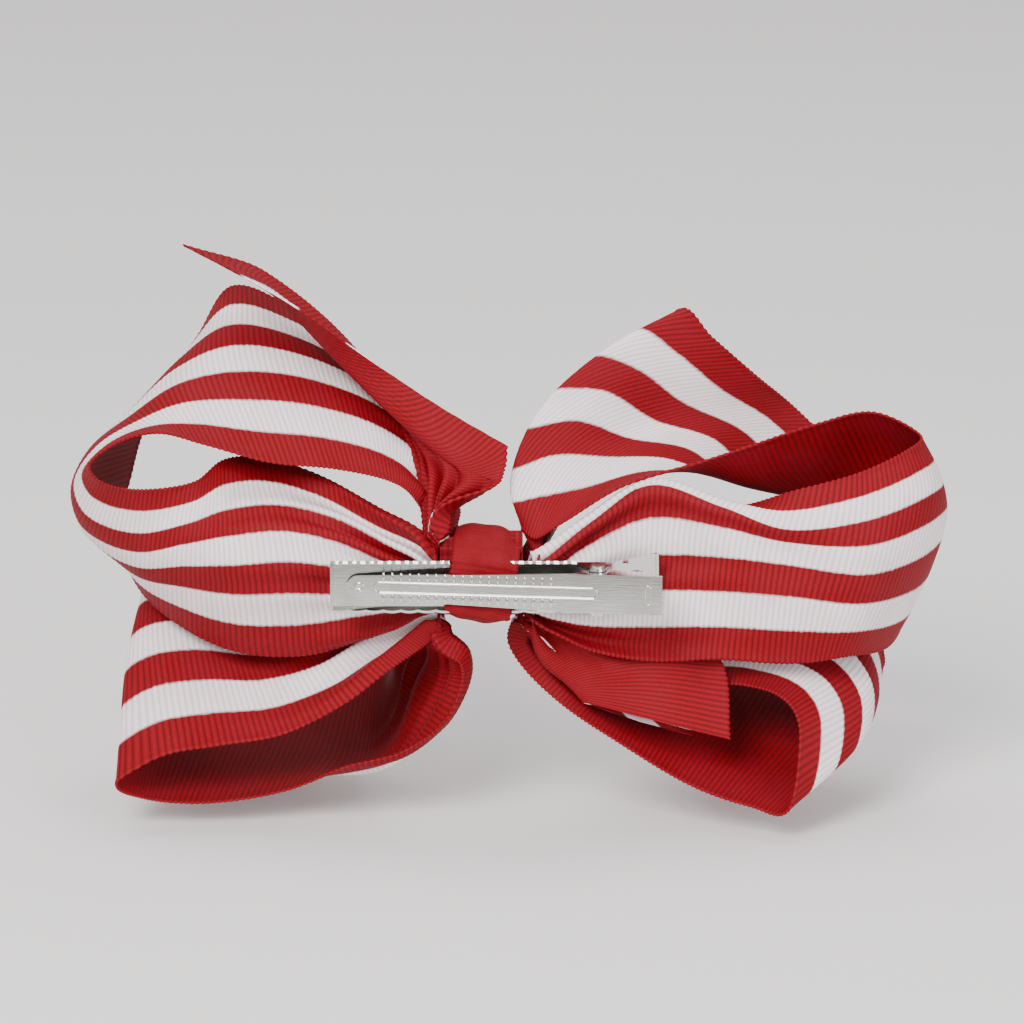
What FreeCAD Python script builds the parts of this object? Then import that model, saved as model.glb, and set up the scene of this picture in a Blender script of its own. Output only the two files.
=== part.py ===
# Striped hair bow: four ribbon loops and two tails tied at the middle, with a wrapped
# centre knot that also holds the fixed jaw of a flat alligator clip.
# Frame: millimetres, +X along the bow, +Z up, the clip on the -Y side. The origin is the
# middle of the clip's mouth, on the gripping face of the jaw that is tied to the bow.
import FreeCAD, Part
import math
import os

Vector = FreeCAD.Vector

# ---- driving dimensions (mm, degrees) ----
bowWidth = 152.0            # tip to tip of the loops along X
bowHeight = 92.0            # loops only, along Z
bowDepth = 55.0             # how far the loops stand off the clip, along Y
drawnWidth = 152.0          # sizes that the rib lines below are drawn for
drawnHeight = 92.0
drawnDepth = 55.0
ribbonThick = 0.6           # ribbon with its two coats of print, as a plain solid
ribSteps = 36               # rib lines in a finished loop
acrossSteps = 6             # points across the ribbon

knotWidth = 11.5            # width of the ribbon round the middle
knotThick = 0.5
knotTilt = 9.0              # the knot leans, its top towards +X
knotShift = -1.0            # knot centre along X at the clip
knotGap = 0.3               # knot ribbon to the gather inside it

gatherLowX = -8.2           # the gather ends where the loops spread out
gatherHighX = 6.2
gatherHalfZ = 7.4
gatherHalfY = 6.8
gatherMidY = 8.4
threadWidth = 2.4
threadThick = 0.4
threadGroove = 0.5

sheetThick = 0.5            # clip metal
jawWidth = 8.1
jawTipX = -27.1             # free end of the jaw that is tied to the bow
jawBendX = 21.5             # where its handle bends away from the mouth
handleLength = 9.4
handleAngle = 35.0
handleRollRadius = 0.8
lipHeight = 1.2
flangeHeight = 1.45
flangeSplay = 20.0
scallopPitch = 3.1
scallopDepth = 0.4
earStartX = 15.5
earRadius = 1.6
notchLength = 1.2
notchDepth = 0.7

pinX = 19.0
pinY = -2.8
pinRadius = 0.8
pinHeadRadius = 1.25
pinHeadThick = 0.4
runningGap = 0.06           # radial, prong jaw on its pin
sideGap = 0.1               # between the two pairs of ears

prongReach = 43.2           # pin to the prong's tip
prongTail = 11.5            # pin to the end of the finger tab
prongBack = 2.35            # pin axis to the plate's inner face
prongTipHalf = 2.0
prongTipGap = 0.45          # tip to the other jaw when closed
prongEarStart = 3.5
prongEarEnd = 10.8
prongEarTop = 1.3
prongEarTaper = 2.5
grooveHalf = 1.0
grooveStart = 5.6           # from the tip
grooveEnd = 43.0
grooveDepth = 0.15
ribPitch = 1.53
ribCount = 20
ribLength = 0.7
ribOffset = 1.65            # row centre from the middle line
ribStart = 6.4              # first rib, from the tip
dimpleRadius = 0.7
dimpleFromTip = 2.2

wireRadius = 0.45
coilRadius = 1.8
coilTurns = 4
coilPitch = 0.86
springLegPress = 5.3        # along X, from the bend to the leg's end on the handle

gluePad = (8.0, 5.6)        # along X and Z
glueBed = 0.25              # how far the pad is pressed into the gather

# ---- rib lines ----
# Each row crosses one ribbon from its selvedge on the clip side to the other one.
# Rows run from the tie, out round the loop, and back to the tie.
upperLeftRows = [
    [(-8.5, 4, -3.5), (-8.5, 5.5, 0), (-8.5, 7.5, 3.5)],
    [(-8.5, 12, 6), (-7.5, 21, 8), (-6, 31, 11)],
    [(-12, 10, 13), (-10, 26, 18), (-10, 42, 21)],
    [(-17, 10.5, 16), (-20, 31, 26), (-24, 50, 29)],
    [(-27, 11, 18), (-33, 33, 31), (-36, 54, 37)],
    [(-38, 11.5, 19), (-45, 34, 32), (-46, 56, 40)],
    [(-49, 12, 22), (-55, 33, 29), (-52, 55, 31)],
    [(-57, 12.5, 24), (-63, 31, 23), (-58, 55, 22)],
    [(-64, 12, 22.5), (-70, 29, 17), (-62, 52, 14)],
    [(-69, 10.5, 19), (-73, 26, 10), (-64, 50, 7)],
    [(-67, 9.5, 16), (-71, 24, 3), (-66, 47, -2)],
    [(-60, 10, 14.5), (-62, 17, 0), (-62, 34, -10)],
    [(-51, 13.5, 15), (-52.5, 11, 2.5), (-53, 24, -15)],
    [(-46, 19.5, 17.5), (-44.5, 6.5, 4.5), (-43.5, 16.5, -17)],
    [(-39, 23, 17), (-35, 5.5, 5.5), (-33, 14, -17)],
    [(-29, 19, 15), (-26, 5.5, 4), (-24, 12, -14.5)],
    [(-19, 11.5, 11), (-17, 4.5, 1), (-16, 7.5, -10.5)],
    [(-12, 6.5, 8), (-12, 3.5, 0), (-11.5, 4.5, -7)],
    [(-8.5, 3, 3.5), (-8.5, 2.5, -1), (-8.5, 3, -5.5)],
]
lowerLeftRows = [
    [(-8.5, 3.5, -7.7), (-8.5, 5.5, -5), (-8.5, 7, -2.5)],
    [(-12.5, 5.5, -12), (-15, 13.5, -9), (-17, 22, -6.5)],
    [(-18, 7, -17), (-24, 20, -12.5), (-27, 33, -7)],
    [(-25.5, 7.5, -23.5), (-32, 22, -16), (-35, 37, -7)],
    [(-36, 7, -29), (-42, 25, -17.5), (-45, 42, -7)],
    [(-47.5, 6.5, -31), (-52, 28, -17), (-54, 45, -5)],
    [(-57, 7, -33), (-60, 28, -18), (-60, 47, -6)],
    [(-65, 7.5, -38), (-64, 29, -22), (-60, 50, -10)],
    [(-60, 10.5, -42), (-58, 30, -37), (-54, 50, -34)],
    [(-49, 11.5, -43), (-45, 33, -38), (-41, 52, -32)],
    [(-36, 12, -41), (-32, 33, -38), (-29, 51, -31)],
    [(-25, 10, -36), (-23.5, 16, -39), (-22, 25, -40), (-21, 36, -37), (-20, 48, -30)],
    [(-15, 8, -33), (-15.5, 14, -35.5), (-16, 22, -35), (-16.5, 32, -30), (-17, 42, -22)],
    [(-7, 5.5, -27), (-12, 21, -25), (-18, 37, -17)],
    [(-3.5, 5, -20), (-9.5, 18, -19), (-16, 33, -14.5)],
    [(-3.5, 4.5, -14.5), (-9, 12.5, -14), (-14, 24, -11)],
    [(-7, 4.5, -11.3), (-9.5, 8.5, -10.7), (-11, 14.5, -9)],
    [(-8.5, 6.5, -7.8), (-8.5, 8, -6), (-8.5, 9, -4)],
]
upperRightRows = [
    [(6.5, 4.5, -2), (6.5, 6.5, 0), (6.5, 8, 2.5)],
    [(8.8, 6.8, 2), (10, 18, 7), (19, 40, 15)],
    [(7.5, 8.8, 4.8), (9.5, 20.5, 18), (13, 27, 24), (20, 33, 27), (27, 39, 27)],
    [(6.2, 10.5, 7), (4.2, 15.5, 15), (9.5, 22, 26), (21, 29, 35), (34, 34, 41)],
    [(8.3, 7.3, 6.3), (11, 17, 17), (18, 24.5, 26), (28, 30, 32), (39.5, 34.5, 36)],
    [(13.5, 9.3, 8.9), (20.5, 20, 16.5), (27, 28.5, 20.5), (36, 33.5, 25), (47.5, 38.5, 28)],
    [(23.8, 11.5, 14.8), (30.5, 21, 16.5), (37.5, 29.5, 17.5), (46, 38.5, 18.5), (55, 46, 20)],
    [(37, 13.5, 18.5), (40, 20.5, 14), (44.5, 29, 11.5), (53, 38.5, 12), (62.5, 47.5, 11.5)],
    [(47, 17, 21), (47.5, 22, 12.5), (54.5, 31, 7.5), (61, 41, 5), (66, 49.5, 3.5)],
    [(57.5, 21, 23.5), (57.5, 25.5, 14), (61.5, 33, 3), (66.5, 41, -2.5), (70.5, 47.5, -8)],
    [(67.5, 23.5, 25), (68, 28.5, 16.5), (70.5, 32.5, 1.5), (72.5, 36.5, -7), (73, 38.5, -14.5)],
    [(75.5, 19.5, 22), (79, 23.5, 14), (80.5, 26.5, 5), (77.5, 30.5, -7), (73.5, 34, -17)],
    [(73, 14, 20.5), (76.5, 14, 13.5), (76.5, 15.5, 4), (74.5, 20.5, -8), (70.5, 25, -18.5)],
    [(64, 11, 17), (65.5, 8, 10.5), (66, 6, 3), (65, 8.5, -7), (63.5, 13, -16.5)],
    [(52.5, 10, 14), (52, 6.5, 9), (52.5, 7.5, 4), (52.5, 7, -5.5), (53, 10, -17)],
    [(43.5, 17, 9), (41, 9.5, 12), (40.5, 9, 5.5), (40.5, 8, -5), (40.5, 7.5, -15.5)],
    [(28.5, 18, 8.5), (28.5, 11.5, 15.5), (28.5, 11, 5.5), (28.5, 8.5, -5), (28.5, 6.5, -15.5)],
    [(18, 11.5, 4), (18, 9, 9.5), (18, 7.5, 2.5), (18, 5.5, -5), (18, 4.5, -13)],
    [(11, 7, 2), (11, 5.5, 4.5), (11, 4, -0.5), (11, 3, -4.5), (11, 2.5, -9)],
    [(6.5, 3, 3.5), (6.5, 2.5, -1), (6.5, 2.5, -5.5)],
]
lowerRightRows = [
    [(6.5, 5.5, -7.5), (6.5, 6.5, -5), (6.5, 7.7, -3)],
    [(20, 11.5, -15), (21, 22, -11), (22, 32, -7.5)],
    [(34, 12, -21), (36, 26, -13.5), (38, 39.5, -7)],
    [(45, 10, -21), (49, 25, -15), (54, 40, -9)],
    [(52, 7.5, -23), (62, 23, -19), (66.5, 41, -14)],
    [(54.5, 4, -28), (67, 18.5, -25), (70, 39, -20.5)],
    [(52.5, 1, -41), (65.5, 14, -32.5), (70.5, 36, -25)],
    [(46, 4.5, -41.5), (58, 23, -34), (65.5, 44, -26)],
    [(35.5, 7.5, -38.5), (46, 28.5, -30), (55, 49, -22)],
    [(23.5, 9.5, -31.5), (31.5, 30, -23), (38, 48, -16)],
    [(13, 8.5, -23), (18, 22.5, -17), (22, 37, -11)],
    [(5.5, 9.5, -14), (8.5, 15, -11), (11, 21, -8)],
    [(6.5, 7.5, -8.2), (6.5, 9, -6), (6.5, 10, -4)],
]
upperTailRows = [
    [(-8.6, 4.5, 6.5), (-8.6, 5, 5.5), (-8.6, 5.5, 4.5)],
    [(-6.8, 7.5, 11.2), (-7.5, 8.8, 11.6), (-9, 11, 12.8), (-10.5, 15, 15), (-12, 20, 18.5)],
    [(1, 9.5, 14.5), (-5, 12, 16.5), (-11, 18.5, 20), (-17, 28.5, 26), (-22, 39, 31)],
    [(3.2, 12.5, 18), (-8.5, 15, 21.5), (-22, 24, 30), (-34, 35, 39.5), (-40, 47, 45)],
    [(3.5, 15, 21), (-8, 18.5, 27), (-20.5, 23, 34.5), (-35.5, 29, 43.8), (-54, 45.5, 50)],
]
lowerTailRows = [
    [(6.5, 3.5, -7), (6.5, 4, -6), (6.5, 4.5, -5), (6.5, 5, -4), (6.5, 5.5, -3.5)],
    [(15, 9, -16), (12.5, 8, -15.5), (10, 6, -14.5), (20, 7.5, -11), (31, 12, -9)],
    [(26, 10.5, -22), (20, 9.5, -21), (14, 6.5, -19), (27, 7, -16), (41, 10.5, -17)],
    [(36, 9.5, -30), (26, 9, -27), (17, 6.5, -23), (30, 4.5, -26), (42.5, 5.5, -29.5)],
]
ribbonRows = {
    "loop_upper_left": upperLeftRows,
    "loop_lower_left": lowerLeftRows,
    "loop_upper_right": upperRightRows,
    "loop_lower_right": lowerRightRows,
    "tail_upper_left": upperTailRows,
    "tail_lower_right": lowerTailRows,
}


def box(lowX, highX, lowY, highY, lowZ, highZ):
    return Part.makeBox(highX - lowX, highY - lowY, highZ - lowZ, Vector(lowX, lowY, lowZ))


def cylinderZ(radius, lowZ, highZ, x=0.0, y=0.0):
    return Part.makeCylinder(radius, highZ - lowZ, Vector(x, y, lowZ), Vector(0, 0, 1))


def plateXY(points, lowZ, highZ):
    corners = [Vector(x, y, lowZ) for x, y in points]
    face = Part.Face(Part.makePolygon(corners + corners[:1]))
    return face.extrude(Vector(0, 0, highZ - lowZ))


# ---- ribbon ----
def splineThrough(points, places, wanted):
    # smooth curve through points that sit at places, read at the wanted places
    slopes = []
    last = len(points) - 1
    for i in range(last + 1):
        low = max(i - 1, 0)
        high = min(i + 1, last)
        slopes.append((points[high] - points[low]) * (1.0 / (places[high] - places[low])))
    found = []
    for place in wanted:
        i = 0
        while i < last - 1 and place > places[i + 1]:
            i += 1
        span = places[i + 1] - places[i]
        t = (place - places[i]) / span
        start = points[i] * (2 * t**3 - 3 * t**2 + 1) + slopes[i] * (span * (t**3 - 2 * t**2 + t))
        end = points[i + 1] * (3 * t**2 - 2 * t**3) + slopes[i + 1] * (span * (t**3 - t**2))
        found.append(start + end)
    return found


def evenly(low, high, count):
    return [low + (high - low) * i / (count - 1.0) for i in range(count)]


def placed(point):
    # the loops grow with the bow's overall sizes, and the tie stays as it is
    x, y, z = point
    tieX = gatherHighX
    if abs(x) > tieX:
        x = math.copysign(tieX + (abs(x) - tieX) * bowWidth / drawnWidth, x)
    if y > gatherMidY:
        y = gatherMidY + (y - gatherMidY) * bowDepth / drawnDepth
    if abs(z) > gatherHalfZ:
        z = math.copysign(gatherHalfZ + (abs(z) - gatherHalfZ) * bowHeight / drawnHeight, z)
    return Vector(x, y, z)


def ribbonGrid(rows):
    crossing = []
    for row in rows:
        points = [placed(p) for p in row]
        crossing.append(splineThrough(points, evenly(0, 1, len(points)), evenly(0, 1, acrossSteps)))
    places = [0.0]
    for near, far in zip(crossing, crossing[1:]):
        gaps = [(b - a).Length for a, b in zip(near, far)]
        places.append(places[-1] + sum(gaps) / len(gaps))
    wanted = evenly(0, places[-1], ribSteps)
    columns = [splineThrough(column, places, wanted) for column in zip(*crossing)]
    return [list(row) for row in zip(*columns)]


def gridNormals(grid):
    normals = []
    for i in range(len(grid)):
        low = max(i - 1, 0)
        high = min(i + 1, len(grid) - 1)
        row = []
        for j in range(len(grid[0])):
            left = max(j - 1, 0)
            right = min(j + 1, len(grid[0]) - 1)
            along = grid[high][j] - grid[low][j]
            across = grid[i][right] - grid[i][left]
            row.append(along.cross(across).normalize())
        normals.append(row)
    return normals


def ribbonSolid(rows):
    grid = ribbonGrid(rows)
    normals = gridNormals(grid)
    skins = []
    for shift in (-0.5 * ribbonThick, 0.5 * ribbonThick):
        skins.append([[p + n * shift for p, n in zip(pr, nr)] for pr, nr in zip(grid, normals)])
    faces = []
    for skin in skins:
        for near, far in zip(skin, skin[1:]):
            faces += ruledTriangles(near, far)
    rims = [([row[j] for row in skins[0]], [row[j] for row in skins[1]]) for j in (0, -1)]
    rims += [(skins[0][i], skins[1][i]) for i in (0, -1)]
    for inner, outer in rims:
        faces += ruledTriangles(inner, outer)
    skin = Part.Compound(faces)
    skin.sewShape(0.001)
    solid = Part.Solid(skin.Shells[0])
    if solid.Volume < 0:
        solid.reverse()
    return solid


def ruledTriangles(near, far):
    # two triangles for each cell between two lines of points
    faces = []
    for a, b, c, d in zip(near, near[1:], far[1:], far):
        for corners in ((a, b, c), (a, c, d)):
            faces.append(Part.Face(Part.makePolygon(list(corners) + [corners[0]])))
    return faces


# ---- gather and knot ----
def ovalAlongX(halfZ, halfY, lowX, highX):
    ellipse = Part.Ellipse(Vector(lowX, gatherMidY, 0), halfZ, halfY)
    face = Part.Face(Part.Wire(ellipse.toShape()))
    face.rotate(Vector(lowX, gatherMidY, 0), Vector(0, 1, 0), 90)
    return face.extrude(Vector(highX - lowX, 0, 0))


def ovalBand(halfZ, halfY, thick, width):
    outer = ovalAlongX(halfZ, halfY, -width / 2, width / 2)
    inner = ovalAlongX(halfZ - thick, halfY - thick, -width / 2 - 1, width / 2 + 1)
    return outer.cut(inner)


def gatheredCentre():
    body = ovalAlongX(gatherHalfZ, gatherHalfY, gatherLowX, gatherHighX)
    return body.cut(ovalBand(gatherHalfZ + 1, gatherHalfY + 1, 1 + threadGroove, threadWidth))


def bindingThread():
    lift = threadGroove - threadThick
    return ovalBand(gatherHalfZ - lift, gatherHalfY - lift, threadThick, threadWidth)


def knotOutline(grow):
    # closed outline round the gather and the fixed jaw, seen along X
    frontY = -flangeHeight * math.cos(math.radians(flangeSplay)) - 0.1
    jawZ = jawWidth / 2 + flangeHeight * math.sin(math.radians(flangeSplay)) + 0.6
    topZ = gatherHalfZ + knotGap
    backY = gatherMidY + gatherHalfY + knotGap
    half = [
        (frontY - 0.05, 0.0),
        (frontY, 0.62 * jawZ),
        (frontY + 0.35, jawZ),
        (gatherMidY - 0.85 * gatherHalfY, 0.88 * topZ),
        (gatherMidY, topZ + 0.5),
        (gatherMidY + 0.72 * gatherHalfY, 0.80 * topZ),
        (backY, 0.0),
    ]
    points = [Vector(0, y, z) for y, z in half] + [Vector(0, y, -z) for y, z in half[-2:0:-1]]
    middle = Vector(0, (frontY + backY) / 2, 0)
    points = [p + (p - middle).normalize() * grow for p in points]
    curve = Part.BSplineCurve()
    curve.interpolate(Points=points, PeriodicFlag=True)
    return Part.Wire(curve.toShape())


def knotWrap():
    ring = Part.Face(knotOutline(knotThick)).cut(Part.Face(knotOutline(0)))
    band = ring.Faces[0].extrude(Vector(knotWidth, 0, 0))
    band.translate(Vector(knotShift - knotWidth / 2, 0, 0))
    band.rotate(Vector(knotShift, 0, 0), Vector(0, 1, 0), knotTilt)
    return band


def glueDab():
    length, height = gluePad
    pad = box(-length / 2, length / 2, sheetThick, gatherMidY, -height / 2, height / 2)
    gather = ovalAlongX(gatherHalfZ - glueBed, gatherHalfY - glueBed, gatherLowX, gatherHighX)
    return pad.cut(gather).cut(gatheredCentre()).cut(bindingThread())


# ---- clip ----
def scallopedFlange(length):
    # a strip along X whose free edge, towards -Y, is a row of round teeth
    count = int(round(length / scallopPitch))
    pitch = length / count
    shallow = -flangeHeight + scallopDepth
    edges = []
    for i in range(count):
        start = Vector(i * pitch, shallow, 0)
        middle = Vector((i + 0.5) * pitch, -flangeHeight, 0)
        end = Vector((i + 1) * pitch, shallow, 0)
        edges.append(Part.Arc(start, middle, end).toShape())
    corners = [Vector(length, shallow, 0), Vector(length, sheetThick, 0), Vector(0, sheetThick, 0)]
    corners.append(Vector(0, shallow, 0))
    for a, b in zip(corners, corners[1:]):
        edges.append(Part.LineSegment(a, b).toShape())
    return Part.Face(Part.Wire(edges)).extrude(Vector(0, 0, sheetThick))


def bowJaw():
    half = jawWidth / 2
    body = box(jawTipX, jawBendX, 0, sheetThick, -half, half)
    body = body.fuse(box(jawTipX, jawTipX + sheetThick, -lipHeight, sheetThick, -half, half))
    flange = scallopedFlange(earStartX - jawTipX)
    flange.translate(Vector(jawTipX, 0, half - sheetThick))
    hinge = Vector(0, sheetThick, half - sheetThick)
    flange.rotate(hinge, Vector(1, 0, 0), -flangeSplay)
    body = body.fuse(flange)
    body = body.fuse(flange.mirror(Vector(0, 0, 0), Vector(0, 0, 1)))
    for side in (-1, 1):
        low, high = sorted((side * half, side * (half - sheetThick)))
        outline = [(earStartX, sheetThick), (earStartX, -0.4), (pinX - earRadius, pinY)]
        outline += [(pinX + earRadius, pinY), (jawBendX, -0.4), (jawBendX, sheetThick)]
        ear = plateXY(outline, low, high)
        body = body.fuse(ear.fuse(cylinderZ(earRadius, low, high, pinX, pinY)))
    angle = math.radians(handleAngle)
    handle = box(0, handleLength, 0, sheetThick, -half, half)
    for side in (-1, 1):
        low, high = sorted((side * half, side * (half - notchDepth)))
        handle = handle.cut(box(2.4, 2.4 + notchLength, -1, 1 + sheetThick, low, high))
    handle.rotate(Vector(0, 0, 0), Vector(0, 0, 1), handleAngle)
    handle.translate(Vector(jawBendX, 0, 0))
    body = body.fuse(handle)
    knuckle = cylinderZ(sheetThick, -half, half, jawBendX, sheetThick)
    body = body.fuse(knuckle.common(box(jawBendX - 1, jawBendX + 1, 0, 1, -half, half)))
    rollX = jawBendX + handleLength * math.cos(angle)
    rollY = handleLength * math.sin(angle) + handleRollRadius
    roll = cylinderZ(handleRollRadius, -half, half, rollX, rollY)
    roll = roll.cut(cylinderZ(handleRollRadius - sheetThick, -half - 1, half + 1, rollX, rollY))
    body = body.fuse(roll)
    return body.cut(cylinderZ(pinRadius, -half - 1, half + 1, pinX, pinY)).removeSplitter()


def closedAngle():
    # turn of the prong about its pin that brings its tip to the other jaw
    reach = math.hypot(prongReach, prongBack)
    return math.degrees(math.asin((-pinY - prongTipGap) / reach) + math.atan2(prongBack, prongReach))


def fromProngFrame(shape):
    shape.rotate(Vector(0, 0, 0), Vector(0, 0, 1), -closedAngle())
    shape.translate(Vector(pinX, pinY, 0))
    return shape


def prongPlate(half):
    low = -prongBack - sheetThick
    outline = [(-prongReach + prongTipHalf, -prongTipHalf), (-prongEarStart, -half), (prongTail, -half)]
    outline += [(prongTail, half), (-prongEarStart, half), (-prongReach + prongTipHalf, prongTipHalf)]
    corners = [Vector(x, low, z) for x, z in outline]
    edges = [Part.LineSegment(a, b).toShape() for a, b in zip(corners, corners[1:])]
    tip = Vector(-prongReach, low, 0)
    edges.append(Part.Arc(corners[-1], tip, corners[0]).toShape())
    return Part.Face(Part.Wire(edges)).extrude(Vector(0, sheetThick, 0))


def prongJaw():
    half = jawWidth / 2 - sheetThick - sideGap
    body = prongPlate(half)
    plateY = -prongBack
    for side in (-1, 1):
        low, high = sorted((side * half, side * (half - sheetThick)))
        outline = [(-prongEarStart, plateY), (-1.2, prongEarTop), (1.2, prongEarTop)]
        outline += [(prongEarEnd, plateY + prongEarTaper - 1.2), (prongEarEnd, plateY)]
        body = body.fuse(plateXY(outline, low, high))
    outer = plateY - sheetThick
    groove = box(-prongReach + grooveStart, -prongReach + grooveEnd, outer - 1, outer + grooveDepth,
                 -grooveHalf, grooveHalf)
    for x in (-prongReach + grooveStart, -prongReach + grooveEnd):
        end = Part.makeCylinder(grooveHalf, 1 + grooveDepth, Vector(x, outer - 1, 0), Vector(0, 1, 0))
        groove = groove.fuse(end)
    body = body.cut(groove)
    for i in range(ribCount):
        x = -prongReach + ribStart + i * ribPitch
        for side in (-1, 1):
            z = side * ribOffset
            body = body.cut(box(x - ribPitch / 5, x + ribPitch / 5, outer - 1, outer + grooveDepth,
                                z - ribLength / 2, z + ribLength / 2))
    dimple = Vector(-prongReach + dimpleFromTip, outer - dimpleRadius + grooveDepth, 0)
    body = body.cut(Part.makeSphere(dimpleRadius, dimple))
    slotX = prongTail - 2.4
    body = body.cut(box(slotX - 0.4, slotX + 0.4, outer - 1, outer + grooveDepth, -1.4, 1.4))
    hole = cylinderZ(pinRadius + runningGap, -jawWidth, jawWidth)
    return fromProngFrame(body.cut(hole).removeSplitter())


def pivotPin():
    half = jawWidth / 2
    pin = cylinderZ(pinRadius, -half, half, pinX, pinY)
    for low in (-half - pinHeadThick, half):
        pin = pin.fuse(cylinderZ(pinHeadRadius, low, low + pinHeadThick, pinX, pinY))
    return pin.removeSplitter()


def wireRun(start, end):
    run = end - start
    rod = Part.makeCylinder(wireRadius, run.Length, start, run)
    return rod.fuse(Part.makeSphere(wireRadius, end))


def coilBody():
    # close wound turns as one revolved solid with a rounded outside
    height = coilPitch * coilTurns
    low = Vector(coilRadius - wireRadius, 0, -height / 2)
    high = Vector(coilRadius - wireRadius, 0, height / 2)
    edges = [Part.LineSegment(high, low).toShape()]
    last = low
    for i in range(coilTurns):
        z = -height / 2 + i * coilPitch
        start = Vector(coilRadius + wireRadius / 2, 0, z)
        if i == 0:
            edges.append(Part.LineSegment(last, start).toShape())
        middle = Vector(coilRadius + wireRadius, 0, z + coilPitch / 2)
        last = Vector(coilRadius + wireRadius / 2, 0, z + coilPitch)
        edges.append(Part.Arc(start, middle, last).toShape())
    edges.append(Part.LineSegment(last, high).toShape())
    return Part.Face(Part.Wire(edges)).revolve(Vector(0, 0, 0), Vector(0, 0, 1), 360)


def torsionSpring():
    topZ = coilPitch * (coilTurns - 1) / 2
    coil = coilBody()
    coil.translate(Vector(pinX, pinY, 0))
    angle = math.radians(handleAngle)
    clear = wireRadius + 0.05
    top = Vector(pinX, pinY + coilRadius, topZ)
    bend = Vector(jawBendX, -clear - 0.15, topZ)
    end = Vector(jawBendX + springLegPress, springLegPress * math.tan(angle) - clear / math.cos(angle), topZ)
    spring = coil.fuse(wireRun(top, bend)).fuse(wireRun(bend, end))
    low = Vector(0, -coilRadius, -topZ)
    leg = wireRun(low, low + Vector(prongEarEnd - 2.5, 0, 0))
    return spring.fuse(fromProngFrame(leg))


def main():
    os.makedirs("parts", exist_ok=True)
    nodes = {name: ribbonSolid(rows) for name, rows in ribbonRows.items()}
    nodes["gathered_centre"] = gatheredCentre()
    nodes["binding_thread"] = bindingThread()
    nodes["knot_wrap"] = knotWrap()
    nodes["glue_dab"] = glueDab()
    nodes["bow_jaw"] = bowJaw()
    nodes["prong_jaw"] = prongJaw()
    nodes["pivot_pin"] = pivotPin()
    nodes["torsion_spring"] = torsionSpring()
    for name, shape in nodes.items():
        shape.exportStep("parts/" + name + ".step")
        size = shape.BoundBox
        print(name, "valid", shape.isValid(), "solids", len(shape.Solids), "mm3", round(shape.Volume, 1),
              "x %.1f %.1f y %.1f %.1f z %.1f %.1f" % (size.XMin, size.XMax, size.YMin, size.YMax,
                                                       size.ZMin, size.ZMax))


main()
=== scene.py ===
import math
import bmesh
import bpy
import numpy as np
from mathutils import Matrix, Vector


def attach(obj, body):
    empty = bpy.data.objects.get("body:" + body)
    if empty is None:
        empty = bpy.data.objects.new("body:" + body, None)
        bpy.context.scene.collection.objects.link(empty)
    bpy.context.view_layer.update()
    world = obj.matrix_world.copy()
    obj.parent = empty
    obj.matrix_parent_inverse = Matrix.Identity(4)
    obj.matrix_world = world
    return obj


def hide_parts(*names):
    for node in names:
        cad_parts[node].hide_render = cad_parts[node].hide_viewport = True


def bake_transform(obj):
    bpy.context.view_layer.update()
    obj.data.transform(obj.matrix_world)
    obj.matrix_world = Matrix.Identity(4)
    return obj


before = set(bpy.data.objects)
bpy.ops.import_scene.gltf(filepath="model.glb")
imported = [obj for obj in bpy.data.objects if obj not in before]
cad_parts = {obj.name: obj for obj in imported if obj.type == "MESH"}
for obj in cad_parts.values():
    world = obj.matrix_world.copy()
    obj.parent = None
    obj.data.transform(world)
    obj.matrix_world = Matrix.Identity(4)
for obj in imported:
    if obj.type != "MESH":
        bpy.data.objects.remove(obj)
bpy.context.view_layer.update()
print("frame loaded:", len(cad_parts), "nodes")

mm = 0.001

# small tools


def evenly(low, high, count):
    return np.linspace(low, high, count)


def splineThrough(points, places, wanted):
    # smooth curve through points (rows of numbers) that sit at places
    points = np.asarray(points, float)
    places = np.asarray(places, float)
    count = len(points)
    low = np.maximum(np.arange(count) - 1, 0)
    high = np.minimum(np.arange(count) + 1, count - 1)
    slopes = (points[high] - points[low]) / (places[high] - places[low])[:, None]
    i = np.clip(np.searchsorted(places, wanted, side="right") - 1, 0, count - 2)
    span = (places[i + 1] - places[i])[:, None]
    t = (np.asarray(wanted) - places[i])[:, None] / span
    start = (2 * t**3 - 3 * t**2 + 1) * points[i] + span * (t**3 - 2 * t**2 + t) * slopes[i]
    end = (3 * t**2 - 2 * t**3) * points[i + 1] + span * (t**3 - t**2) * slopes[i + 1]
    return start + end


def unit(v):
    return v / np.maximum(np.linalg.norm(v, axis=-1, keepdims=True), 1e-9)


def gridNormals(grid, closed=False):
    if closed:
        along = np.roll(grid, -1, axis=0) - np.roll(grid, 1, axis=0)
    else:
        along = np.gradient(grid, axis=0)
    return unit(np.cross(along, np.gradient(grid, axis=1)))


def newPiece(name, points, faces, uv=None):
    # points in millimetres, faces a list of rows, uv one pair for each face corner
    mesh = bpy.data.meshes.new(name)
    mesh.from_pydata((np.asarray(points) * mm).tolist(), [], faces)
    if uv is not None:
        layer = mesh.uv_layers.new(name="ribbonUV")
        layer.data.foreach_set("uv", np.asarray(uv, np.float32).ravel())
    mesh.polygons.foreach_set("use_smooth", [True] * len(mesh.polygons))
    mesh.update()
    piece = bpy.data.objects.new(name, mesh)
    bpy.context.scene.collection.objects.link(piece)
    return piece


def addFloat(piece, name, values, domain="POINT"):
    layer = piece.data.attributes.new(name, "FLOAT", domain)
    layer.data.foreach_set("value", np.asarray(values, np.float32).ravel())


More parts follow.
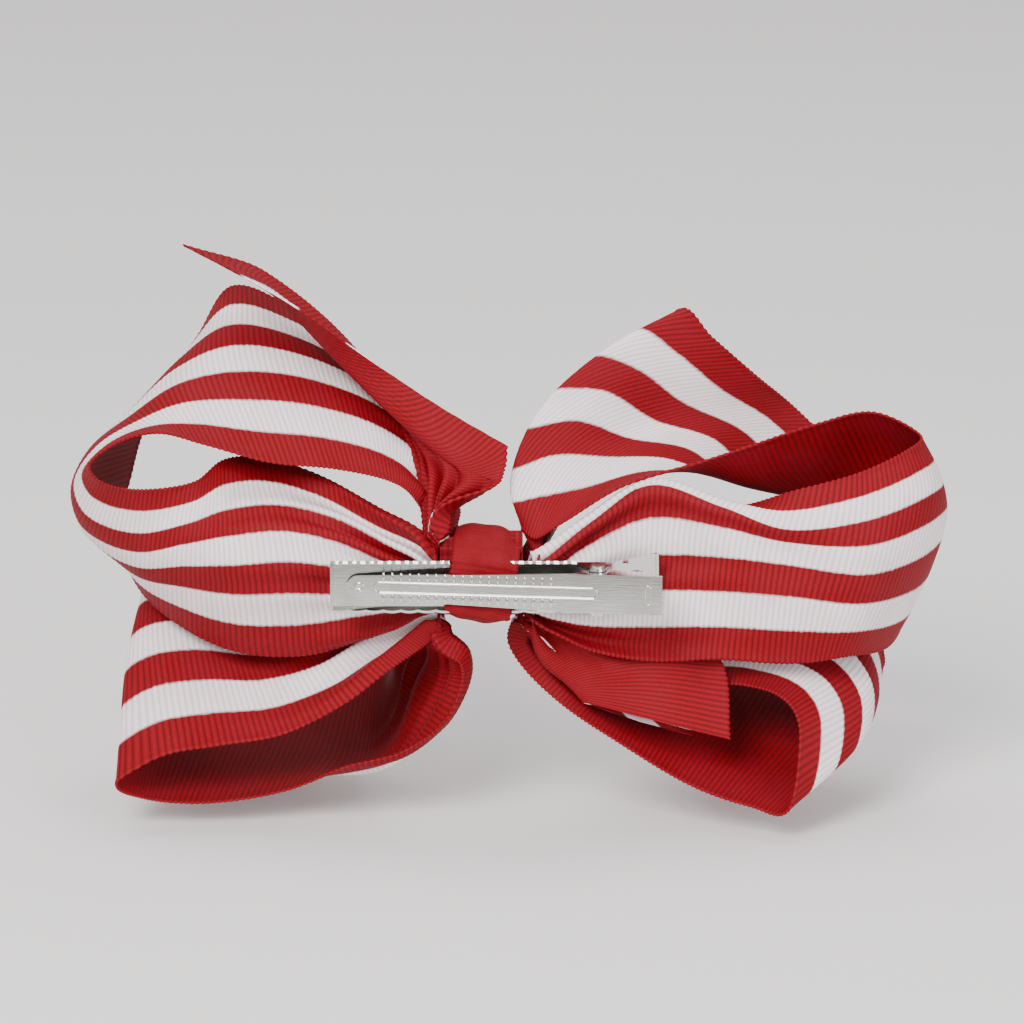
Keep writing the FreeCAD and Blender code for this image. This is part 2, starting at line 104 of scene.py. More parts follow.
def bake(piece, modifier):
    # the modifier's result becomes the piece's own mesh
    graph = bpy.context.evaluated_depsgraph_get()
    mesh = bpy.data.meshes.new_from_object(piece.evaluated_get(graph), depsgraph=graph)
    piece.modifiers.remove(modifier)
    old = piece.data
    piece.data = mesh
    bpy.data.meshes.remove(old)
    mesh.name = piece.name


# node helpers


def socket(tree, name, kind, into, value=None):
    made = tree.interface.new_socket(name=name, in_out="INPUT" if into else "OUTPUT", socket_type=kind)
    if value is not None:
        made.default_value = value
    return made


def mathNode(tree, operation, a, b=None, c=None):
    node = tree.nodes.new("ShaderNodeMath")
    node.operation = operation
    for i, value in enumerate((a, b, c)):
        if value is None:
            continue
        if isinstance(value, (int, float)):
            node.inputs[i].default_value = value
        else:
            tree.links.new(value, node.inputs[i])
    return node.outputs[0]


def mixColour(tree, factor, a, b):
    node = tree.nodes.new("ShaderNodeMix")
    node.data_type = "RGBA"
    for i, value in ((0, factor), (6, a), (7, b)):
        if isinstance(value, (int, float)):
            node.inputs[i].default_value = value
        elif isinstance(value, tuple):
            node.inputs[i].default_value = value + (1,) * (4 - len(value))
        else:
            tree.links.new(value, node.inputs[i])
    return node.outputs[2]


def noise(tree, vector, scale, detail=3.0, rough=0.5):
    node = tree.nodes.new("ShaderNodeTexNoise")
    node.inputs["Scale"].default_value = scale
    node.inputs["Detail"].default_value = detail
    node.inputs["Roughness"].default_value = rough
    tree.links.new(vector, node.inputs["Vector"])
    return node.outputs["Fac"]


def spread(tree, value, low, high, toLow, toHigh):
    node = tree.nodes.new("ShaderNodeMapRange")
    node.inputs["From Min"].default_value = low
    node.inputs["From Max"].default_value = high
    node.inputs["To Min"].default_value = toLow
    node.inputs["To Max"].default_value = toHigh
    tree.links.new(value, node.inputs["Value"])
    return node.outputs["Result"]


# grosgrain ribbon
grosgrain = {
    "width": 50.8,
    "thickness": 0.34,
    "ribPitch": 1.04,
    "ribHeight": 0.085,
    "pointsPerRib": 4,
    "columnsInside": 40,
    "selvedge": 0.8,
    "selvedgeSwell": 0.11,
    "rim": 0.08,
    "picot": 0.08,
    "stripes": 7,
    "pleats": 6,
    "pleatHeight": 2.6,
    "pleatShare": 1.5,
    "pleatPeak": 2.5,
    "pleatReach": 55.0,
}


def grosgrainTree():
    # moves each point along its normal in rows of ribs, and gives each face its side's material
    tree = bpy.data.node_groups.new("grosgrainRibs", "GeometryNodeTree")
    socket(tree, "Geometry", "NodeSocketGeometry", True)
    socket(tree, "ribPitch", "NodeSocketFloat", True, 1.0)
    socket(tree, "ribHeight", "NodeSocketFloat", True, 0.1)
    socket(tree, "faceMaterial", "NodeSocketMaterial", True)
    socket(tree, "reverseMaterial", "NodeSocketMaterial", True)
    socket(tree, "Geometry", "NodeSocketGeometry", False)
    start = tree.nodes.new("NodeGroupInput")
    end = tree.nodes.new("NodeGroupOutput")
    along = tree.nodes.new("GeometryNodeInputNamedAttribute")
    along.data_type = "FLOAT"
    along.inputs["Name"].default_value = "along"
    swell = tree.nodes.new("GeometryNodeInputNamedAttribute")
    swell.data_type = "FLOAT"
    swell.inputs["Name"].default_value = "swell"
    turn = mathNode(tree, "DIVIDE", along.outputs["Attribute"], start.outputs["ribPitch"])
    wave = mathNode(tree, "COSINE", mathNode(tree, "MULTIPLY", turn, 2 * math.pi))
    # rounded tops and narrow valleys
    crest = mathNode(tree, "POWER", mathNode(tree, "MULTIPLY_ADD", wave, 0.5, 0.5), 0.6)
    lift = mathNode(tree, "MULTIPLY", mathNode(tree, "SUBTRACT", crest, 0.6), start.outputs["ribHeight"])
    lift = mathNode(tree, "MULTIPLY", lift, mathNode(tree, "ADD", swell.outputs["Attribute"], 1.0))
    normal = tree.nodes.new("GeometryNodeInputNormal")
    scale = tree.nodes.new("ShaderNodeVectorMath")
    scale.operation = "SCALE"
    tree.links.new(normal.outputs[0], scale.inputs[0])
    tree.links.new(lift, scale.inputs["Scale"])
    move = tree.nodes.new("GeometryNodeSetPosition")
    tree.links.new(start.outputs["Geometry"], move.inputs["Geometry"])
    tree.links.new(scale.outputs["Vector"], move.inputs["Offset"])
    side = tree.nodes.new("GeometryNodeInputNamedAttribute")
    side.data_type = "FLOAT"
    side.inputs["Name"].default_value = "reverseSide"
    real = tree.nodes.new("GeometryNodeRealizeInstances")
    tree.links.new(move.outputs["Geometry"], real.inputs["Geometry"])
    paint = tree.nodes.new("GeometryNodeSetMaterial")
    tree.links.new(real.outputs["Geometry"], paint.inputs["Geometry"])
    tree.links.new(start.outputs["faceMaterial"], paint.inputs["Material"])
    back = tree.nodes.new("GeometryNodeSetMaterial")
    tree.links.new(paint.outputs["Geometry"], back.inputs["Geometry"])
    tree.links.new(mathNode(tree, "GREATER_THAN", side.outputs["Attribute"], 0.5), back.inputs["Selection"])
    tree.links.new(start.outputs["reverseMaterial"], back.inputs["Material"])
    tree.links.new(back.outputs["Geometry"], end.inputs["Geometry"])
    return tree


def runTree(piece, tree, values):
    modifier = piece.modifiers.new(tree.name, "NODES")
    modifier.node_group = tree
    for item in tree.interface.items_tree:
        if item.item_type == "SOCKET" and item.in_out == "INPUT" and item.name in values:
            modifier[item.identifier] = values[item.name]
    bake(piece, modifier)


def columnPlaces(width):
    # across the ribbon, in mm: close together in the two selvedges
    edge = grosgrain["selvedge"]
    near = np.array([0, 0.3, 0.6, 1.0]) * edge
    inside = evenly(edge, width - edge, grosgrain["columnsInside"])[1:-1]
    return np.concatenate([near, inside, width - near[::-1]])


def woven(name, grid, along, across, width, materials, closed=False, cutEnd=False):
    # grid[i, j] is the ribbon's middle surface; along is each point's place on the flat ribbon
    rows, columns = grid.shape[:2]
    normals = gridNormals(grid, closed)
    rim = np.minimum(across, width - across)
    swell = np.clip(1 - rim / grosgrain["selvedge"], 0, 1) ** 0.7
    half = 0.5 * grosgrain["thickness"] + grosgrain["selvedgeSwell"] * np.sin(math.pi * swell**0.8)
    half = np.where(rim < 1e-6, grosgrain["rim"], half)
    # the weft turns round the edge in small loops
    acrossway = unit(np.gradient(grid, axis=1))
    wave = 0.5 + 0.5 * np.cos(2 * math.pi * along / grosgrain["ribPitch"])
    sign = np.where(across < width / 2, -1.0, 1.0)
    push = grosgrain["picot"] * wave * swell**2 * sign[None, :]
    middle = grid + acrossway * push[..., None]
    face = middle + normals * half[None, :, None]
    back = middle - normals * half[None, :, None]
    points = np.concatenate([face.reshape(-1, 3), back.reshape(-1, 3)])
    index = np.arange(rows * columns).reshape(rows, columns)
    shift = rows * columns
    if closed:
        index = np.concatenate([index, index[:1]])
        alongWrap = np.concatenate([along, along[:1] + closed])
    else:
        alongWrap = along
    a, b = index[:-1, :-1], index[1:, :-1]
    c, d = index[1:, 1:], index[:-1, 1:]
    front = np.stack([a, b, c, d], -1).reshape(-1, 4)
    rear = np.stack([a, d, c, b], -1).reshape(-1, 4) + shift

    def corner(i, j):
        u = alongWrap / width
        v = np.broadcast_to(across[None, :] / width, alongWrap.shape)
        return np.stack([u[i, j], v[i, j]], -1)

    top, low = slice(None, -1), slice(1, None)
    uvFront = np.stack([corner(top, top), corner(low, top), corner(low, low), corner(top, low)], -2)
    uvRear = np.stack([corner(top, top), corner(top, low), corner(low, low), corner(low, top)], -2)
    faces = [front, rear]
    uvs = [uvFront.reshape(-1, 2), uvRear.reshape(-1, 2)]
    side = [np.zeros(len(front)), np.ones(len(rear))]
    strips = [(index[:, 0], True, 0), (index[:, -1], False, -1)]
    for line, flip, j in strips:
        p, q = line[:-1], line[1:]
        quad = [p, p + shift, q + shift, q] if flip else [p, q, q + shift, p + shift]
        faces.append(np.stack(quad, -1))
        s = alongWrap[:, j] / width
        v = np.full(len(p), across[j] / width)
        first, last = np.stack([s[:-1], v], -1), np.stack([s[1:], v], -1)
        order = [first, first, last, last] if flip else [first, last, last, first]
        uvs.append(np.stack(order, -2).reshape(-1, 2))
        side.append(np.zeros(len(p)))
    if not closed:
        for line, flip, i in ((index[0], False, 0), (index[-1], True, -1)):
            p, q = line[:-1], line[1:]
            quad = [p, p + shift, q + shift, q] if flip else [p, q, q + shift, p + shift]
            faces.append(np.stack(quad, -1))
            v = across / width if cutEnd and i else 0 * across
            s = alongWrap[i] / width
            first, last = np.stack([s[:-1], v[:-1]], -1), np.stack([s[1:], v[1:]], -1)
            order = [first, first, last, last] if flip else [first, last, last, first]
            uvs.append(np.stack(order, -2).reshape(-1, 2))
            side.append(np.zeros(len(p)))
    faces = np.concatenate(faces)
    piece = newPiece(name, points, faces.tolist(), np.concatenate(uvs))
    addFloat(piece, "along", np.concatenate([along.ravel(), along.ravel()]))
    twice = np.broadcast_to(swell[None, :], along.shape).ravel()
    addFloat(piece, "swell", np.concatenate([twice, twice]))
    addFloat(piece, "reverseSide", np.concatenate(side), "FACE")
    values = {"ribPitch": grosgrain["ribPitch"], "ribHeight": grosgrain["ribHeight"] * mm}
    values.update(faceMaterial=materials[0], reverseMaterial=materials[1])
    runTree(piece, ribTree, values)
    return piece


# materials


def ribShade():
    # shared effect: how the ribs and yarns darken and lighten the ribbon; on the red this is painted shade in
    # the rib valleys and a painted highlight on the rib crests
    tree = bpy.data.node_groups.new("ribShade", "ShaderNodeTree")
    socket(tree, "Place", "NodeSocketVector", True)
    socket(tree, "Ribs", "NodeSocketFloat", True, 48.85)
    socket(tree, "Crest", "NodeSocketFloat", False)
    socket(tree, "Yarn", "NodeSocketFloat", False)
    socket(tree, "Cloud", "NodeSocketFloat", False)
    start = tree.nodes.new("NodeGroupInput")
    end = tree.nodes.new("NodeGroupOutput")
    split = tree.nodes.new("ShaderNodeSeparateXYZ")
    tree.links.new(start.outputs["Place"], split.inputs[0])
    turn = mathNode(tree, "MULTIPLY", split.outputs[0], start.outputs["Ribs"])
    wave = mathNode(tree, "COSINE", mathNode(tree, "MULTIPLY", turn, 2 * math.pi))
    crest = mathNode(tree, "POWER", mathNode(tree, "MULTIPLY_ADD", wave, 0.5, 0.5), 0.5)
    tree.links.new(crest, end.inputs["Crest"])
    # warp yarns run along the ribbon: fine lines across it, broken up along it
    stretch = tree.nodes.new("ShaderNodeVectorMath")
    stretch.operation = "MULTIPLY"
    stretch.inputs[1].default_value = (60.0, 330.0, 1.0)
    tree.links.new(start.outputs["Place"], stretch.inputs[0])
    yarn = noise(tree, stretch.outputs[0], 1.0, 2.0, 0.6)
    tree.links.new(yarn, end.inputs["Yarn"])
    tree.links.new(noise(tree, start.outputs["Place"], 5.0, 3.0, 0.5), end.inputs["Cloud"])
    return tree


ribbonLook = {
    "red": (0.22, 0.0003, 0.0045),
    # the darker valley red is painted shade in the rib valleys, the paler crest red a painted highlight on
    # the rib crests
    "redValleyShade": (0.10, 0.0002, 0.0018),
    "redCrestHighlight": (0.38, 0.003, 0.015),
    "white": (0.88, 0.86, 0.87),
    "whiteValley": (0.72, 0.50, 0.55),
    "bleed": 0.012,
    "whiteYarn": (0.78, 0.66, 0.68),
    "cloud": (0.25, 0.02, 0.04),
    "roughness": 0.7,
    "yarnBump": 0.35,
    "specular": 0.16,
}


def ribbonMaterial(name, printed):
    material = bpy.data.materials.new(name)
    material.use_nodes = True
    tree = material.node_tree
    shader = tree.nodes["Principled BSDF"]
    uv = tree.nodes.new("ShaderNodeUVMap")
    uv.uv_map = "ribbonUV"
    shade = tree.nodes.new("ShaderNodeGroup")
    shade.node_tree = shadeTree
    shade.inputs["Ribs"].default_value = grosgrain["width"] / grosgrain["ribPitch"]
    tree.links.new(uv.outputs[0], shade.inputs["Place"])
    crest, yarn, cloud = (shade.outputs[k] for k in ("Crest", "Yarn", "Cloud"))
    # painted shade in the rib valleys, then a painted highlight on the rib crests where the yarn mask allows
    red = mixColour(tree, crest, ribbonLook["redValleyShade"], ribbonLook["red"])
    light = mathNode(tree, "MULTIPLY", spread(tree, yarn, 0.45, 0.75, 0.0, 0.55), crest)
    red = mixColour(tree, light, red, ribbonLook["redCrestHighlight"])
    colour = red
    if printed:
        split = tree.nodes.new("ShaderNodeSeparateXYZ")
        tree.links.new(uv.outputs[0], split.inputs[0])
        wander = spread(tree, noise(tree, uv.outputs[0], 55.0, 1.0), 0.3, 0.7, -0.012, 0.012)
        place = mathNode(tree, "MULTIPLY_ADD", split.outputs[1], float(grosgrain["stripes"]), wander)
        place = mathNode(tree, "MINIMUM", mathNode(tree, "MAXIMUM", place, 0.3), grosgrain["stripes"] - 0.3)
        # 0 in the red bands and 1 in the white ones, with a short soft edge
        phase = mathNode(tree, "PINGPONG", mathNode(tree, "ADD", place, -0.5), 1.0)
        soft = ribbonLook["bleed"] * grosgrain["stripes"] / 2
        mask = spread(tree, phase, 0.5 - soft, 0.5 + soft, 0.0, 1.0)
        white = mixColour(tree, crest, ribbonLook["whiteValley"], ribbonLook["white"])
        white = mixColour(tree, spread(tree, yarn, 0.3, 0.6, 0.25, 0.0), white, ribbonLook["whiteYarn"])
        colour = mixColour(tree, mask, red, white)
    colour = mixColour(tree, spread(tree, cloud, 0.35, 0.65, 0.12, 0.0), colour, ribbonLook["cloud"])
    tree.links.new(colour, shader.inputs["Base Color"])
    rough = mathNode(tree, "MULTIPLY_ADD", yarn, 0.3, ribbonLook["roughness"] - 0.15)
    tree.links.new(rough, shader.inputs["Roughness"])
    bump = tree.nodes.new("ShaderNodeBump")
    bump.inputs["Strength"].default_value = ribbonLook["yarnBump"]
    bump.inputs["Distance"].default_value = 0.0001
    tree.links.new(yarn, bump.inputs["Height"])
    tree.links.new(bump.outputs[0], shader.inputs["Normal"])
    shader.inputs["Specular IOR Level"].default_value = ribbonLook["specular"]
    return material


# each metal's colour, its darker patches, and its smoothest and roughest spots
metalLook = {
    "scratch": 0.06,
    "nickelPlate": ((0.70, 0.69, 0.655), (0.52, 0.51, 0.475), 0.07, 0.19),
    "pinNickel": ((0.74, 0.73, 0.70), (0.5, 0.49, 0.46), 0.12, 0.3),
    "springWire": ((0.55, 0.55, 0.55), (0.35, 0.34, 0.33), 0.22, 0.4),
}


def metalMaterial(name):
    colour, darker, low, high = metalLook[name]
    material = bpy.data.materials.new(name)
    material.use_nodes = True
    tree = material.node_tree
    shader = tree.nodes["Principled BSDF"]
    place = tree.nodes.new("ShaderNodeTexCoord").outputs["Object"]
    cloud = noise(tree, place, 160.0, 4.0, 0.6)
    line = tree.nodes.new("ShaderNodeVectorMath")
    line.operation = "MULTIPLY"
    line.inputs[1].default_value = (250.0, 900.0, 4200.0)
    tree.links.new(place, line.inputs[0])
    scratch = noise(tree, line.outputs[0], 1.0, 3.0, 0.7)
    base = mixColour(tree, spread(tree, cloud, 0.45, 0.75, 0.0, 0.6), colour, darker)
    tree.links.new(base, shader.inputs["Base Color"])
    shader.inputs["Metallic"].default_value = 1.0
    mixed = mathNode(tree, "MULTIPLY_ADD", scratch, 0.5, mathNode(tree, "MULTIPLY", cloud, 0.5))
    tree.links.new(spread(tree, mixed, 0.3, 0.7, low, high), shader.inputs["Roughness"])
    bump = tree.nodes.new("ShaderNodeBump")
    bump.inputs["Strength"].default_value = metalLook["scratch"]
    bump.inputs["Distance"].default_value = 0.0001
    tree.links.new(scratch, bump.inputs["Height"])
    tree.links.new(bump.outputs[0], shader.inputs["Normal"])
    return material


glueLook = {"cloudy": (0.85, 0.8, 0.68), "clear": (0.95, 0.93, 0.88)}


def glueMaterial():
    material = bpy.data.materials.new("clearGlue")
    material.use_nodes = True
    tree = material.node_tree
    shader = tree.nodes["Principled BSDF"]
    place = tree.nodes.new("ShaderNodeTexCoord").outputs["Object"]
    cloud = noise(tree, place, 400.0, 3.0)
    colour = mixColour(tree, cloud, glueLook["cloudy"], glueLook["clear"])
    tree.links.new(colour, shader.inputs["Base Color"])
    tree.links.new(spread(tree, cloud, 0.3, 0.7, 0.15, 0.35), shader.inputs["Roughness"])
    return material


ribTree = grosgrainTree()
shadeTree = ribShade()
stripedFace = ribbonMaterial("stripedGrosgrain", True)
redFace = ribbonMaterial("redGrosgrain", False)
nickel = metalMaterial("nickelPlate")
pinSteel = metalMaterial("pinNickel")
springSteel = metalMaterial("springWire")
glue = glueMaterial()
print("materials ready")

# loops and tails
# each row crosses one ribbon, from its selvedge on the clip side to the other one, in mm
upperLeftRows = [
    [(-8.5, 4, -3.5), (-8.5, 5.5, 0), (-8.5, 7.5, 3.5)],
    [(-8.5, 12, 6), (-7.5, 21, 8), (-6, 31, 11)],
    [(-12, 10, 13), (-10, 26, 18), (-10, 42, 21)],
    [(-17, 10.5, 16), (-20, 31, 26), (-24, 50, 29)],
    [(-27, 11, 18), (-33, 33, 31), (-36, 54, 37)],
    [(-38, 11.5, 19), (-45, 34, 32), (-46, 56, 40)],
    [(-49, 12, 22), (-55, 33, 29), (-52, 55, 31)],
    [(-57, 12.5, 24), (-63, 31, 23), (-58, 55, 22)],
    [(-64, 12, 22.5), (-70, 29, 17), (-62, 52, 14)],
    [(-69, 10.5, 19), (-73, 26, 10), (-64, 50, 7)],
    [(-67, 9.5, 16), (-71, 24, 3), (-66, 47, -2)],
    [(-60, 10, 14.5), (-62, 17, 0), (-62, 34, -10)],
    [(-51, 13.5, 15), (-52.5, 11, 2.5), (-53, 24, -15)],
    [(-46, 19.5, 17.5), (-44.5, 6.5, 4.5), (-43.5, 16.5, -17)],
    [(-39, 23, 17), (-35, 5.5, 5.5), (-33, 14, -17)],
    [(-29, 19, 15), (-26, 5.5, 4), (-24, 12, -14.5)],
    [(-19, 11.5, 11), (-17, 4.5, 1), (-16, 7.5, -10.5)],
    [(-12, 6.5, 8), (-12, 3.5, 0), (-11.5, 4.5, -7)],
    [(-8.5, 3, 3.5), (-8.5, 2.5, -1), (-8.5, 3, -5.5)],
]
lowerLeftRows = [
    [(-8.5, 3.5, -7.7), (-8.5, 5.5, -5), (-8.5, 7, -2.5)],
    [(-12.5, 5.5, -12), (-15, 13.5, -9), (-17, 22, -6.5)],
    [(-18, 7, -17), (-24, 20, -12.5), (-27, 33, -7)],
    [(-25.5, 7.5, -23.5), (-32, 22, -16), (-35, 37, -7)],
    [(-36, 7, -29), (-42, 25, -17.5), (-45, 42, -7)],
    [(-47.5, 6.5, -31), (-52, 28, -17), (-54, 45, -5)],
    [(-57, 7, -33), (-60, 28, -18), (-60, 47, -6)],
    [(-65, 7.5, -38), (-64, 29, -22), (-60, 50, -10)],
    [(-60, 10.5, -42), (-58, 30, -37), (-54, 50, -34)],
    [(-49, 11.5, -43), (-45, 33, -38), (-41, 52, -32)],
    [(-36, 12, -41), (-32, 33, -38), (-29, 51, -31)],
    [(-25, 10, -36), (-23.5, 16, -39), (-22, 25, -40), (-21, 36, -37), (-20, 48, -30)],
    [(-15, 8, -33), (-15.5, 14, -35.5), (-16, 22, -35), (-16.5, 32, -30), (-17, 42, -22)],
    [(-7, 5.5, -27), (-12, 21, -25), (-18, 37, -17)],
    [(-3.5, 5, -20), (-9.5, 18, -19), (-16, 33, -14.5)],
    [(-3.5, 4.5, -14.5), (-9, 12.5, -14), (-14, 24, -11)],
    [(-7, 4.5, -11.3), (-9.5, 8.5, -10.7), (-11, 14.5, -9)],
    [(-8.5, 6.5, -7.8), (-8.5, 8, -6), (-8.5, 9, -4)],
]
upperRightRows = [
    [(6.5, 4.5, -2), (6.5, 6.5, 0), (6.5, 8, 2.5)],
    [(8.8, 6.8, 2), (10, 18, 7), (19, 40, 15)],
    [(7.5, 8.8, 4.8), (9.5, 20.5, 18), (13, 27, 24), (20, 33, 27), (27, 39, 27)],
    [(6.2, 10.5, 7), (4.2, 15.5, 15), (9.5, 22, 26), (21, 29, 35), (34, 34, 41)],
    [(8.3, 7.3, 6.3), (11, 17, 17), (18, 24.5, 26), (28, 30, 32), (39.5, 34.5, 36)],
    [(13.5, 9.3, 8.9), (20.5, 20, 16.5), (27, 28.5, 20.5), (36, 33.5, 25), (47.5, 38.5, 28)],
    [(23.8, 11.5, 14.8), (30.5, 21, 16.5), (37.5, 29.5, 17.5), (46, 38.5, 18.5), (55, 46, 20)],
    [(37, 13.5, 18.5), (40, 20.5, 14), (44.5, 29, 11.5), (53, 38.5, 12), (62.5, 47.5, 11.5)],
    [(47, 17, 21), (47.5, 22, 12.5), (54.5, 31, 7.5), (61, 41, 5), (66, 49.5, 3.5)],
    [(57.5, 21, 23.5), (57.5, 25.5, 14), (61.5, 33, 3), (66.5, 41, -2.5), (70.5, 47.5, -8)],
    [(67.5, 23.5, 25), (68, 28.5, 16.5), (70.5, 32.5, 1.5), (72.5, 36.5, -7), (73, 38.5, -14.5)],
    [(75.5, 19.5, 22), (79, 23.5, 14), (80.5, 26.5, 5), (77.5, 30.5, -7), (73.5, 34, -17)],
    [(73, 14, 20.5), (76.5, 14, 13.5), (76.5, 15.5, 4), (74.5, 20.5, -8), (70.5, 25, -18.5)],
    [(64, 11, 17), (65.5, 8, 10.5), (66, 6, 3), (65, 8.5, -7), (63.5, 13, -16.5)],
    [(52.5, 10, 14), (52, 6.5, 9), (52.5, 7.5, 4), (52.5, 7, -5.5), (53, 10, -17)],
    [(43.5, 17, 9), (41, 9.5, 12), (40.5, 9, 5.5), (40.5, 8, -5), (40.5, 7.5, -15.5)],
    [(28.5, 18, 8.5), (28.5, 11.5, 15.5), (28.5, 11, 5.5), (28.5, 8.5, -5), (28.5, 6.5, -15.5)],
    [(18, 11.5, 4), (18, 9, 9.5), (18, 7.5, 2.5), (18, 5.5, -5), (18, 4.5, -13)],
    [(11, 7, 2), (11, 5.5, 4.5), (11, 4, -0.5), (11, 3, -4.5), (11, 2.5, -9)],
    [(6.5, 3, 3.5), (6.5, 2.5, -1), (6.5, 2.5, -5.5)],
]
lowerRightRows = [
    [(6.5, 5.5, -7.5), (6.5, 6.5, -5), (6.5, 7.7, -3)],
    [(20, 11.5, -15), (21, 22, -11), (22, 32, -7.5)],
    [(34, 12, -21), (36, 26, -13.5), (38, 39.5, -7)],
    [(45, 10, -21), (49, 25, -15), (54, 40, -9)],
    [(52, 7.5, -23), (62, 23, -19), (66.5, 41, -14)],
    [(54.5, 4, -28), (67, 18.5, -25), (70, 39, -20.5)],
    [(52.5, 1, -41), (65.5, 14, -32.5), (70.5, 36, -25)],
    [(46, 4.5, -41.5), (58, 23, -34), (65.5, 44, -26)],
    [(35.5, 7.5, -38.5), (46, 28.5, -30), (55, 49, -22)],
    [(23.5, 9.5, -31.5), (31.5, 30, -23), (38, 48, -16)],
    [(13, 8.5, -23), (18, 22.5, -17), (22, 37, -11)],
    [(5.5, 9.5, -14), (8.5, 15, -11), (11, 21, -8)],
    [(6.5, 7.5, -8.2), (6.5, 9, -6), (6.5, 10, -4)],
]
upperTailRows = [
    [(-8.6, 4.5, 6.5), (-8.6, 5, 5.5), (-8.6, 5.5, 4.5)],
    [(-6.8, 7.5, 11.2), (-7.5, 8.8, 11.6), (-9, 11, 12.8), (-10.5, 15, 15), (-12, 20, 18.5)],
    [(1, 9.5, 14.5), (-5, 12, 16.5), (-11, 18.5, 20), (-17, 28.5, 26), (-22, 39, 31)],
    [(3.2, 12.5, 18), (-8.5, 15, 21.5), (-22, 24, 30), (-34, 35, 39.5), (-40, 47, 45)],
    [(3.5, 15, 21), (-8, 18.5, 27), (-20.5, 23, 34.5), (-35.5, 29, 43.8), (-54, 45.5, 50)],
]
lowerTailRows = [
    [(6.5, 3.5, -7), (6.5, 4, -6), (6.5, 4.5, -5), (6.5, 5, -4), (6.5, 5.5, -3.5)],
    [(15, 9, -16), (12.5, 8, -15.5), (10, 6, -14.5), (20, 7.5, -11), (31, 12, -9)],
    [(26, 10.5, -22), (20, 9.5, -21), (14, 6.5, -19), (27, 7, -16), (41, 10.5, -17)],
    [(36, 9.5, -30), (26, 9, -27), (17, 6.5, -23), (30, 4.5, -26), (42.5, 5.5, -29.5)],
]
# startAt and endAt are a ribbon's ends at its two selvedges, in mm along it: its ribs and pleats use them
ribbons = [
    {"name": "upperLeftLoop", "node": "loop_upper_left", "rows": upperLeftRows,
     "startAt": (0, 0), "endAt": (190, 190), "tied": True, "turned": True},
    {"name": "lowerLeftLoop", "node": "loop_lower_left", "rows": lowerLeftRows,
     "startAt": (0, 0), "endAt": (172, 172), "tied": True, "turned": True},
    {"name": "upperRightLoop", "node": "loop_upper_right", "rows": upperRightRows,
     "startAt": (26, 0), "endAt": (222, 222), "tied": True, "turned": False},
    {"name": "lowerRightLoop", "node": "loop_lower_right", "rows": lowerRightRows,
     "startAt": (0, 0), "endAt": (167, 167), "tied": True, "turned": False},
    {"name": "upperLeftTail", "node": "tail_upper_left", "rows": upperTailRows,
     "startAt": (0, 0), "endAt": (22, 76), "tied": False, "turned": True},
    {"name": "lowerRightTail", "node": "tail_lower_right", "rows": lowerTailRows,
     "startAt": (14, 0), "endAt": (52, 52), "tied": False, "turned": True},
]


def ribbonGrid(rows, columns):
    crossing = []
    for row in rows:
        crossing.append(splineThrough(row, evenly(0, 1, len(row)), columns))
    crossing = np.array(crossing)
    gaps = np.linalg.norm(np.diff(crossing, axis=0), axis=2).mean(axis=1)
    places = np.concatenate([[0], np.cumsum(gaps)])
    return crossing, places


def pleated(grid, along, across, width, startAt, endAt, tied):
    # gathers that fan out from the tie: where a row is narrower than the ribbon, it goes in and out
    g = grosgrain
    narrow = np.linalg.norm(np.diff(grid, axis=1), axis=2).sum(axis=1)[:, None]
    spare = np.sqrt(np.maximum((width / narrow) ** 2 - 1, 0)) * narrow / (2 * math.pi * g["pleats"])
    height = np.minimum(g["pleatHeight"], g["pleatShare"] * spare)
    fade = np.minimum(along - startAt, endAt - along) if tied else along - startAt
    t = np.clip(fade / g["pleatPeak"], 0, 1)
    rise = t * t * (3 - 2 * t)
    t = np.clip((g["pleatReach"] - fade) / (g["pleatReach"] - g["pleatPeak"]), 0, 1)
    fall = t * t * (3 - 2 * t)
    turn = 2 * math.pi * g["pleats"] * across / width
    wave = np.cos(turn + 0.9 * np.sin(0.5 * turn))
    return grid + gridNormals(grid) * (height * rise * fall * wave[None, :])[..., None]


def ribbonPiece(facts):
    width = grosgrain["width"]
    across = columnPlaces(width)
    crossing, places = ribbonGrid(facts["rows"], across / width)
    start = facts["startAt"][0] + (facts["startAt"][1] - facts["startAt"][0]) * across / width
    end = facts["endAt"][0] + (facts["endAt"][1] - facts["endAt"][0]) * across / width
    longest = max(abs(facts["endAt"][0] - facts["startAt"][0]), abs(facts["endAt"][1] - facts["startAt"][1]))
    count = int(longest / grosgrain["ribPitch"] * grosgrain["pointsPerRib"]) + 1
    wanted = evenly(0, places[-1], count)
    flat = splineThrough(crossing.reshape(len(crossing), -1), places, wanted)
    grid = flat.reshape(count, len(across), 3)
    # the cut is as long as the surface is, averaged over the ribbon's width
    share = evenly(0, 1, count)[:, None]
    along = start[None, :] + (end - start)[None, :] * share
    grid = pleated(grid, along, across, width, start[None, :], end[None, :], facts["tied"])
    if facts["turned"]:
        grid = grid[:, ::-1]
        along = along[:, ::-1]
    piece = woven(facts["name"], grid, along, across, width, (stripedFace, redFace), cutEnd=not facts["tied"])
    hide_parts(facts["node"])
    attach(piece, "root")
    return piece


for facts in ribbons:
    ribbonPiece(facts)
    print("ribbon woven:", facts["name"])

# knot
knot = {
    "width": 11.5,
    "gatherHalfZ": 7.4,
    "gatherHalfY": 6.8,
    "gatherMidY": 8.4,
    "gap": 0.3,
    "jawZ": 5.15,
    "frontY": -1.46,
    "shift": -1.0,
    "tilt": 9.0,
    "crown": 1.2,
    "folds": 0.16,
    "grow": 0.28,
}


